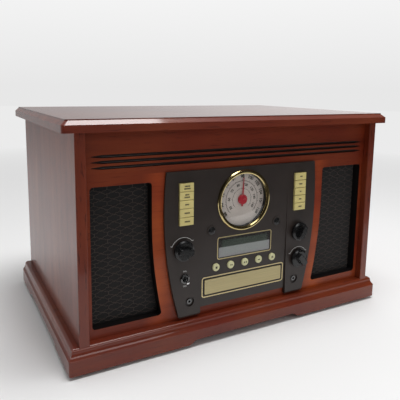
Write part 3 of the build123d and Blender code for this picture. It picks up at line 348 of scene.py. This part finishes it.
wood_lid = wood("wood_lid", (0.07, 1.0, 1.0), 0.9, veil=0.3, haze=0.08)
# The rail's grooves get painted shade.
wood_x = wood("wood_rail", (0.07, 1.0, 1.0), 0.2, painted_light_by_place=painted_groove_shade)
# The front board gets painted light beside the panel and along its bottom.
wood_front = wood("wood_front_board", (0.07, 1.0, 1.0), 0.2, painted_light_by_place=painted_light_and_openings)
wood_z = wood("wood_upright", (1.0, 1.0, 0.12), 0.5, veil=0.3, flecks=0.7, haze=0.1)
wood_xy = wood("wood_plinth", (0.07, 0.07, 1.0), 0.6, haze=0.07)
board = fibreboard()
panel_dark = plastic("panel_dark", (0.027, 0.0185, 0.0155), 0.42, grain=1300, depth=0.00004)
black_gloss = plastic("black_gloss", (0.008, 0.008, 0.0085), 0.25, grain=500, depth=0.00001)
black_satin = plastic("black_satin", (0.018, 0.017, 0.016), 0.45)
key_cream = plastic("key_cream", (0.64, 0.54, 0.21), 0.34, variation=0.05, coat=0.2)
button_cream = plastic("button_cream", (0.62, 0.60, 0.34), 0.34, variation=0.05, coat=0.2)
print_dark = paint("print_dark", (0.035, 0.028, 0.02))
print_white = paint("print_white", (0.72, 0.72, 0.70))
line_gold = metal("line_gold", (0.72, 0.60, 0.33), 0.38)
gold = metal("gold", (0.62, 0.50, 0.24), 0.12, depth=0.00001)
dark_chrome = metal("dark_chrome", (0.16, 0.16, 0.16), 0.25, depth=0.00001)
brass_plate = metal("brass_plate", (0.56, 0.48, 0.27), 0.42, stretch=(25, 900, 900), depth=0.00003)
chrome = metal("chrome", (0.80, 0.80, 0.80), 0.12, depth=0.00001)
steel = metal("steel", (0.42, 0.42, 0.42), 0.35)
alloy = metal("alloy", (0.66, 0.66, 0.66), 0.28, stretch=(600, 600, 60))
zinc = metal("zinc", (0.50, 0.46, 0.36), 0.38)
copper = metal("copper", (0.60, 0.25, 0.12), 0.35)
red_plastic = plastic("red_plastic", (0.50, 0.015, 0.035), 0.30, variation=0.08, coat=0.3)
rubber = plastic("rubber", (0.022, 0.021, 0.02), 0.8)
net_thread = cloth("net_thread", (0.062, 0.043, 0.036))
black_cloth = cloth("black_cloth", (0.010, 0.009, 0.009))

DRESS = {
    wood_lid: ["lid"], wood_x: ["upper_rail"], wood_front: ["front_board"],
    wood_z: ["side_panel_left", "side_panel_right"],
    wood_xy: ["plinth"], board: ["base_board", "back_panel"], black_cloth: ["speaker_baffles"],
    panel_dark: ["control_panel"], gold: ["dial_bezel"], brass_plate: ["cd_tray_plate"],
    dial_paper(): ["dial_face"],
    clear_cover(): ["dial_glass"], red_plastic: ["dial_pointer"], display_glass(): ["display_window"],
    black_satin: ["cd_tray", "cd_housing", "deck_plate", "speed_lever", "speaker_frames", "rear_sockets"],
    black_gloss: ["panel_windows", "function_knob", "tuning_knob", "volume_knob"],
    paper_cone(): ["speaker_cones"], circuit_green(): ["control_circuit"], copper: ["power_transformer"],
    zinc: ["hinge_cabinet_leaves", "hinge_lid_leaves", "lid_stay"], steel: ["lid_pins", "platter_motor"],
    chrome: ["record_spindle", "toggle_lever", "tonearm", "tonearm_yoke"], dark_chrome: ["panel_bushes"],
    alloy: ["platter", "motor_pulley"], grooved_rubber(): ["slipmat"], rubber: ["feet", "drive_belt"],
    key_cream: [n for n in nodes if n.startswith("key_")],
    button_cream: [n for n in nodes if n.startswith("button_")],
    net_thread: ["speaker_nets"],
}
for finish, names in DRESS.items():
    for name in names:
        target = nodes[name]
        target.data.materials.clear()
        target.data.materials.append(finish)


# Widths in millimetres
SOFT_EDGES = {"plinth": 1.0, "lid": 1.2, "side_panel_left": 0.6, "side_panel_right": 0.6,
              "control_panel": 0.5, "function_knob": 0.3, "tuning_knob": 0.3, "volume_knob": 0.3,
              "cd_tray_plate": 0.3}
for name, width in SOFT_EDGES.items():
    bevel = nodes[name].modifiers.new("soft_edges", "BEVEL")
    bevel.width = width * MM
    bevel.segments = 3
    bevel.limit_method = "ANGLE"
    bevel.angle_limit = radians(28)


# ---------------------------------------------------------------- mesh helpers
def piece(name, build, finish, body="cabinet", smooth=None):
    """A new object from a function that fills a bmesh; it rides on a body."""
    mesh = bpy.data.meshes.new(name)
    work = bmesh.new()
    build(work)
    bmesh.ops.recalc_face_normals(work, faces=work.faces)
    if smooth is not None:
        for face in work.faces:
            face.smooth = True
        for edge in work.edges:
            if len(edge.link_faces) == 2 and edge.calc_face_angle(0) > radians(smooth):
                edge.smooth = False
    work.to_mesh(mesh)
    work.free()
    mesh.materials.append(finish)
    made = bpy.data.objects.new(name, mesh)
    bpy.context.scene.collection.objects.link(made)
    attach(made, body)
    return made


def on_panel(x, z, lift):
    """A point on the panel's face, or lifted off it."""
    return Vector((x, fascia_y - field_out(x, z) - lift, z))


def ribbon(work, path, width, surface, closed=False, thickness=0.12 * MM):
    """A raised line of a given width along (x, z) points on a surface."""
    count = len(path)
    rows = []
    for i, (x, z) in enumerate(path):
        before = path[i - 1] if closed or i > 0 else path[i]
        after = path[(i + 1) % count] if closed or i < count - 1 else path[i]
        dx, dz = after[0] - before[0], after[1] - before[1]
        size = hypot(dx, dz) or 1.0
        nx, nz = -dz / size * width / 2, dx / size * width / 2
        corners = [(x + nx, z + nz), (x - nx, z - nz)]
        rows.append([work.verts.new(surface(a, b, lift)) for lift in (0.0, thickness) for a, b in corners])
    pairs = list(zip(rows, rows[1:])) + ([(rows[-1], rows[0])] if closed else [])
    for a, b in pairs:
        for i, j in ((2, 3), (3, 1), (0, 2)):
            work.faces.new((a[i], a[j], b[j], b[i]))


def arc(cx, cz, radius, start, end, steps=40):
    """Points on an arc, angles in degrees anticlockwise from +X."""
    angles = [radians(start + (end - start) * i / steps) for i in range(steps + 1)]
    return [(cx + radius * cos(a), cz + radius * sin(a)) for a in angles]


def rounded_box(cx, cz, width, height, corner, steps=6):
    points = []
    for qx, qz, start in ((1, 1, 0), (-1, 1, 90), (-1, -1, 180), (1, -1, 270)):
        x, z = cx + qx * (width / 2 - corner), cz + qz * (height / 2 - corner)
        points += arc(x, z, corner, start, start + 90, steps)
    return points


def flat_shape(work, points, surface, thickness=0.12 * MM):
    """A filled outline raised off a surface."""
    top = [work.verts.new(surface(x, z, thickness)) for x, z in points]
    low = [work.verts.new(surface(x, z, 0.0)) for x, z in points]
    work.faces.new(top)
    for i in range(len(points)):
        j = (i + 1) % len(points)
        work.faces.new((top[i], top[j], low[j], low[i]))


def lettering(work, text, size, cx, cz, turn, surface, bold=0.0):
    """Raised figures centred on a point, turned in the plane of the surface."""
    curve = bpy.data.curves.new("figures", "FONT")
    curve.body = text
    curve.size = size
    curve.offset = bold
    curve.align_x = "CENTER"
    curve.align_y = "CENTER"
    holder = bpy.data.objects.new("figures", curve)
    mesh = bpy.data.meshes.new_from_object(holder)
    c, s = cos(turn), sin(turn)
    spots = [(cx + v.co.x * c - v.co.y * s, cz + v.co.x * s + v.co.y * c) for v in mesh.vertices]
    verts = [work.verts.new(surface(x, z, 0.12 * MM)) for x, z in spots]
    for polygon in mesh.polygons:
        work.faces.new([verts[i] for i in polygon.vertices])
    bpy.data.objects.remove(holder)
    bpy.data.curves.remove(curve)
    bpy.data.meshes.remove(mesh)


# ---------------------------------------------------------------- speaker nets
def net_outline(side):
    """The speaker opening's outline as (x, z) points, from the frame's net."""
    low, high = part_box("speaker_nets")
    outer, top, bottom = high[0], high[2], low[2]
    bend = plinth_top + net_bend_height
    points = [(outer, bottom), (outer, top), (net_inner_x, top)]
    for i in range(25):
        z = bend + (bottom - bend) * i / 24
        hollow = sqrt(net_hollow_radius ** 2 - (bend - z) ** 2)
        points.append((net_inner_x - net_hollow_radius + hollow, z))
    return [(side * x, z) for x, z in points]


def inside(x, z, outline):
    hit = False
    for (x0, z0), (x1, z1) in zip(outline, outline[1:] + outline[:1]):
        if (z0 > z) != (z1 > z) and x < (x1 - x0) * (z - z0) / (z1 - z0) + x0:
            hit = not hit
    return hit


net_pitch, net_row = 17.0 * MM, 9.9 * MM


def net_cloth(outline):
    """The net's dark ground cloth, a thin sheet cut to the opening."""
    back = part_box("speaker_nets")[1][1] - 0.1 * MM

    def build(work):
        sheets = [[work.verts.new((x, back - depth, z)) for x, z in outline] for depth in (0.3 * MM, 0.0)]
        for ring in sheets:
            work.faces.new(ring)
        for i in range(len(outline)):
            j = (i + 1) % len(outline)
            work.faces.new((sheets[0][i], sheets[0][j], sheets[1][j], sheets[1][i]))
    return build


def net_threads(outline):
    """Knitted threads in staggered rows of long cells, with a knot where two rows meet."""
    xs, zs = [p[0] for p in outline], [p[1] for p in outline]
    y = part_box("speaker_nets")[1][1] - 0.8 * MM

    def wander(x, k):
        slow = 0.3 * MM * sin(9.0 * x / net_pitch + 5.0 * k)
        return 0.45 * MM * sin(23.0 * x / net_pitch + 11.0 * k) + slow

    def build(work):
        for row in range(int((max(zs) - min(zs)) / net_row) + 2):
            centre = min(zs) + row * net_row
            for sign in (-1, 1):
                run = []
                for i in range(241):
                    x = min(xs) + (max(xs) - min(xs)) * i / 240
                    swell = 0.5 + 0.5 * cos(2 * pi * (x - min(xs)) / net_pitch)
                    z = centre + sign * (2.1 + 2.4 * swell) * MM + wander(x, 2 * row + sign)
                    if inside(x, z, outline):
                        run.append(Vector((x, y, z)))
                        if i < 240:
                            continue
                    if len(run) > 1:
                        tube(work, run, 0.42 * MM)
                    run = []
            knot = min(xs) + net_pitch / 2
            while knot < max(xs):
                ends = [(knot, centre + side * 2.1 * MM + wander(knot, 2 * row + side)) for side in (-1, 1)]
                if all(inside(x, z, outline) for x, z in ends):
                    tube(work, [Vector((x, y, z)) for x, z in ends], 0.55 * MM)
                knot += net_pitch
    return build


def tube(work, path, radius, sides=5):
    """A thin round thread along points that lie in a plane square to Y."""
    rings = []
    for i, point in enumerate(path):
        ahead = (path[min(i + 1, len(path) - 1)] - path[max(i - 1, 0)]).normalized()
        across = Vector((-ahead.z, 0, ahead.x))
        ring = []
        for k in range(sides):
            a = 2 * pi * k / sides
            aside = across * (radius * cos(a))
            ring.append(work.verts.new(point + aside + Vector((0, 0.8 * radius * sin(a), 0))))
        rings.append(ring)
    for a, b in zip(rings, rings[1:]):
        for i in range(sides):
            j = (i + 1) % sides
            work.faces.new((a[i], a[j], b[j], b[i]))


for word, side in (("left", -1), ("right", 1)):
    outline = net_outline(side)
    ground = piece("speaker_cloth_" + word, net_cloth(outline), black_cloth)
    threads = piece("speaker_net_" + word, net_threads(outline), net_thread, smooth=80)
    sides = zip(outline, outline[1:] + outline[:1])
    cut = abs(sum(x0 * z1 - x1 * z0 for (x0, z0), (x1, z1) in sides)) / 2
    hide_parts("speaker_nets")


# ---------------------------------------------------------------- lines and figures on the panel
def frame_lines(work):
    display = middle("display_window")
    plate = middle("cd_tray_plate")
    frames = ((display, 92.4, 31.3, 3.0, 1.3), (plate, 140.6, 28.4, 3.4, 1.5))
    for centre, width, height, corner, line in frames:
        frame_path = rounded_box(centre.x, centre.z, width * MM, height * MM, corner * MM)
        ribbon(work, frame_path, line * MM, on_panel, closed=True, thickness=0.3 * MM)


piece("panel_frame_lines", frame_lines, line_gold)


def control_marks(work):
    for name, start, end in (("function_knob", 158, 38), ("volume_knob", 152, 32)):
        centre = middle(name)
        ribbon(work, arc(centre.x, centre.z, knob_mark_radius, start, end), 0.55 * MM, on_panel)
        for angle, length in ((start, 2.4), (end, 2.0)):
            a = radians(angle)
            reach = [knob_mark_radius + t * MM for t in (0.6, length)]
            ends = [(centre.x + r * cos(a), centre.z + r * sin(a)) for r in reach]
            ribbon(work, ends, 0.9 * MM, on_panel)
    toggle = middle("toggle_lever")
    lettering(work, "ON", 3.2 * MM, toggle.x, toggle.z + 11.5 * MM, 0.0, on_panel)
    lettering(work, "OFF", 3.2 * MM, toggle.x, toggle.z - 9.5 * MM, 0.0, on_panel)


piece("panel_marks", control_marks, print_white)


def dial_surface(x, z, lift):
    return Vector((x, dial_front - lift, z))


def dial_figures(work):
    """Two scales of plain numbers round the pointer, with ticks and rings."""
    def at(radius, bearing):
        a = radians(90 - bearing)
        return dial.x + radius * cos(a), dial.z + radius * sin(a)

    ribbon(work, arc(dial.x, dial.z, outer_scale, 225, -45, 90), 0.45 * MM, dial_surface)
    ribbon(work, arc(dial.x, dial.z, inner_scale, 225, -45, 70), 0.40 * MM, dial_surface)
    for i in range(51):
        bearing = -125 + 5 * i
        length = 2.2 if i % 5 == 0 else 1.1
        tick = [at(outer_scale, bearing), at((outer_scale_mm + length) * MM, bearing)]
        ribbon(work, tick, 0.55 * MM, dial_surface)
    for i, value in enumerate(("88", "90", "92", "94", "96", "98", "100", "102", "104", "106", "108")):
        bearing = -125 + 25 * i
        lettering(work, value, 6.6 * MM, *at(outer_figures, bearing), -radians(bearing), dial_surface,
                  0.22 * MM)
    for i, value in enumerate(("53", "60", "70", "80", "100", "120", "140", "160")):
        bearing = -120 + 34 * i
        lettering(work, value, 5.2 * MM, *at(inner_figures, bearing), -radians(bearing), dial_surface,
                  0.16 * MM)
        ribbon(work, [at(inner_scale, bearing), at(17.4 * MM, bearing)], 0.35 * MM, dial_surface)


piece("dial_figures", dial_figures, print_dark)


# ---------------------------------------------------------------- marks on keys and buttons
def flat_at(y):
    return lambda x, z, lift: Vector((x, y - lift, z))


KEY_MARKS = {"key_left_1": (7.0, 8.6), "key_left_2": (5.4, 7.4), "key_left_3": (5.6,), "key_left_4": (7.2,),
             "key_left_5": (6.6,), "key_right_1": (3.6,), "key_right_2": (5.6,), "key_right_3": (2.4,),
             "key_right_4": (4.4,), "key_right_5": (5.2,)}


def key_marks(name, lengths):
    """Short broken dashes in place of a legend."""
    centre, front = middle(name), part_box(name)[0][1]
    surface = flat_at(front)

    def build(work):
        gap = 3.3 * MM
        for row, length in enumerate(lengths):
            z = centre.z + gap * ((len(lengths) - 1) / 2 - row)
            x = centre.x - length / 2 * MM
            dash = 0
            while x < centre.x + length / 2 * MM:
                width = (1.0, 1.6, 1.2)[dash % 3] * MM
                flat_shape(work, [(x, z - 0.95 * MM), (x + width, z - 0.95 * MM), (x + width, z + 0.95 * MM),
                                  (x, z + 0.95 * MM)], surface)
                x += width + 0.35 * MM
                dash += 1
    return build


for name, lengths in KEY_MARKS.items():
    piece(name + "_mark", key_marks(name, lengths), print_dark, name + "_press")


def triangle(cx, cz, size, way=1):
    back, tip = cx - way * size * 0.5, cx + way * size * 0.5
    return [(back, cz + size * 0.58), (back, cz - size * 0.58), (tip, cz)]


def square(cx, cz, width, height):
    w, h = width / 2, height / 2
    return [(cx - w, cz - h), (cx + w, cz - h), (cx + w, cz + h), (cx - w, cz + h)]


def button_marks(index):
    """Plain transport signs: stop, back, play, forward, open."""
    name = f"button_{index}"
    centre, front = middle(name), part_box(name)[0][1]
    surface = flat_at(front)
    signs = {1: [square(0, 0, 2.9, 2.9)], 2: [triangle(-1.1, 0, 2.2, -1), triangle(1.1, 0, 2.2, -1)],
             3: [triangle(-1.2, 0, 2.6), square(1.3, 0, 0.7, 2.6), square(2.5, 0, 0.7, 2.6)],
             4: [triangle(-1.1, 0, 2.2), triangle(1.1, 0, 2.2)],
             5: [[(-1.9, 0), (1.9, 0), (0, 1.9)], square(0, -1.2, 3.8, 0.8)]}

    def build(work):
        for sign in signs[index]:
            flat_shape(work, [(centre.x + x * MM, centre.z + z * MM) for x, z in sign], surface)
    return build


for index in range(1, 6):
    mark = piece(f"button_{index}_mark", button_marks(index), print_dark, f"button_{index}_press")

# ---------------------------------------------------------------- camera, floor and light
scene = bpy.context.scene
scene.view_settings.view_transform = "Standard"


def camera():
    """The photograph's viewpoint, from straight edges fitted in it."""
    yaw, pitch, roll = radians(28.818), radians(-8.723), radians(0.790)
    ahead = Vector((sin(yaw) * cos(pitch), cos(yaw) * cos(pitch), sin(pitch)))
    right = ahead.cross(Vector((0, 0, 1))).normalized()
    up = right.cross(ahead)
    side = right * cos(roll) + up * sin(roll)
    top = -right * sin(roll) + up * cos(roll)
    data = bpy.data.cameras.new("camera")
    picture, focal, centre_row = 400, 480.70, 161.06    # pixels of the photograph
    data.sensor_width = 36.0
    data.lens = 36.0 * focal / picture
    data.shift_y = -(picture / 2 - centre_row) / picture
    made = bpy.data.objects.new("camera", data)
    scene.collection.objects.link(made)
    spot = Vector((-381.95, 0, 354.49)) * MM
    spot.y = front_edge_y - 547.84 * MM
    made.matrix_world = Matrix.Translation(spot) @ Matrix((side, top, -ahead)).transposed().to_4x4()
    scene.camera = made


camera()


def floor():
    """A pale floor that fades into the background away from the object."""
    def build(work):
        rings = []
        for radius in (0.0, 0.5, 1.0, 2.0, 4.0, 8.0):
            turns = [a * pi / 32 for a in range(64)] if radius else [0.0]
            rings.append([work.verts.new((radius * cos(a), radius * sin(a), 0)) for a in turns])
        for a, b in zip(rings, rings[1:]):
            for i in range(64):
                j = (i + 1) % 64
                work.faces.new((a[0], b[i], b[j]) if len(a) == 1 else (a[i], b[i], b[j], a[j]))

    mesh = bpy.data.meshes.new("floor")
    work = bmesh.new()
    build(work)
    work.to_mesh(mesh)
    work.free()
    s = Shader("floor_paper", (0.84, 0.84, 0.84), 0.75)
    s.set("Specular IOR Level", 0.1)
    radius = s.add("ShaderNodeVectorMath", operation="LENGTH")
    s.join(s.place, radius.inputs[0])
    away = s.ramp(s.math("DIVIDE", radius.outputs["Value"], 4.0), [(0.16, 0.0), (0.55, 1.0)])
    path = s.add("ShaderNodeLightPath")
    seen = path.outputs["Is Camera Ray"]
    near = s.math("LESS_THAN", s.axes()["Y"], room_edge_y)
    room = s.math("MULTIPLY", near, path.outputs["Is Glossy Ray"])
    glow = s.add("ShaderNodeEmission")
    glow.inputs["Color"].default_value = (0.83, 0.83, 0.83, 1.0)
    blend = s.add("ShaderNodeMixShader")
    s.join(s.math("MULTIPLY", away, seen), blend.inputs["Fac"])
    s.join(s.surface.outputs[0], blend.inputs[1])
    s.join(glow.outputs[0], blend.inputs[2])
    dark = s.add("ShaderNodeEmission")
    dark.inputs["Color"].default_value = (0.05, 0.045, 0.04, 1.0)
    mirror = s.add("ShaderNodeMixShader")
    s.join(room, mirror.inputs["Fac"])
    s.join(blend.outputs[0], mirror.inputs[1])
    s.join(dark.outputs[0], mirror.inputs[2])
    s.join(mirror.outputs[0], s.tree.nodes["Material Output"].inputs["Surface"])
    mesh.materials.append(s.material)
    made = bpy.data.objects.new("floor", mesh)
    scene.collection.objects.link(made)


floor()


def surroundings():
    """White sweep behind and beside the object, a dim room on the camera's side."""
    world = bpy.data.worlds.new("surroundings")
    scene.world = world
    world.use_nodes = True
    tree = world.node_tree
    back = tree.nodes["Background"]
    out = tree.nodes["World Output"]
    place = tree.nodes.new("ShaderNodeTexCoord")
    split = tree.nodes.new("ShaderNodeSeparateXYZ")
    tree.links.new(place.outputs["Generated"], split.inputs[0])

    def ramp(source, stops):
        node = tree.nodes.new("ShaderNodeValToRGB")
        points = node.color_ramp.elements
        while len(points) < len(stops):
            points.new(0.5)
        for point, (position, value) in zip(points, stops):
            point.position = position
            point.color = (value, value, value, 1.0)
        tree.links.new(source, node.inputs["Fac"])
        return node.outputs["Color"]

    depth = tree.nodes.new("ShaderNodeMath")
    depth.operation = "MULTIPLY_ADD"
    depth.inputs[1].default_value = 0.5
    depth.inputs[2].default_value = 0.5
    tree.links.new(split.outputs["Y"], depth.inputs[0])
    seen = tree.nodes.new("ShaderNodeLightPath")
    room = ramp(depth.outputs[0], [(0.10, 0.14), (0.45, 0.40), (0.62, 0.60)])
    across = tree.nodes.new("ShaderNodeMath")
    across.operation = "MULTIPLY_ADD"
    across.inputs[1].default_value = 0.5
    across.inputs[2].default_value = 0.5
    tree.links.new(split.outputs["X"], across.inputs[0])
    behind = ramp(depth.outputs[0], [(0.30, 0.03), (0.50, 0.18), (0.66, 1.0)])
    aside = ramp(across.outputs[0], [(0.10, 0.30), (0.45, 0.34), (0.62, 0.44), (0.86, 0.80)])
    mirrored = tree.nodes.new("ShaderNodeMix")
    mirrored.data_type = "RGBA"
    mirrored.blend_type = "MULTIPLY"
    mirrored.inputs["Factor"].default_value = 1.0
    tree.links.new(behind, mirrored.inputs[6])
    tree.links.new(aside, mirrored.inputs[7])
    pick = tree.nodes.new("ShaderNodeMix")
    pick.data_type = "RGBA"
    tree.links.new(seen.outputs["Is Glossy Ray"], pick.inputs["Factor"])
    tree.links.new(room, pick.inputs[6])
    tree.links.new(mirrored.outputs[2], pick.inputs[7])
    tree.links.new(pick.outputs[2], back.inputs["Color"])
    back.inputs["Strength"].default_value = 1.0
    shown = tree.nodes.new("ShaderNodeBackground")
    tree.links.new(ramp(split.outputs["Z"], [(0.0, 0.80), (0.22, 0.93)]), shown.inputs["Color"])
    blend = tree.nodes.new("ShaderNodeMixShader")
    tree.links.new(seen.outputs["Is Camera Ray"], blend.inputs["Fac"])
    tree.links.new(back.outputs[0], blend.inputs[1])
    tree.links.new(shown.outputs[0], blend.inputs[2])
    tree.links.new(blend.outputs[0], out.inputs["Surface"])


surroundings()


def lamp(name, spot, size, power):
    """A soft rectangular lamp that faces the object; size is (width, height)."""
    data = bpy.data.lights.new(name, "AREA")
    data.shape = "RECTANGLE"
    data.size, data.size_y = size
    data.energy = power
    made = bpy.data.objects.new(name, data)
    scene.collection.objects.link(made)
    made.location = spot
    made.rotation_euler = (Vector((0, 0, 0.15)) - Vector(spot)).to_track_quat("-Z", "Y").to_euler()


lamp("overhead", (0.15, -0.35, 2.1), (1.1, 0.9), 34.0)
lamp("window", (0.5, -2.25, 1.35), (0.7, 0.8), 7.0)
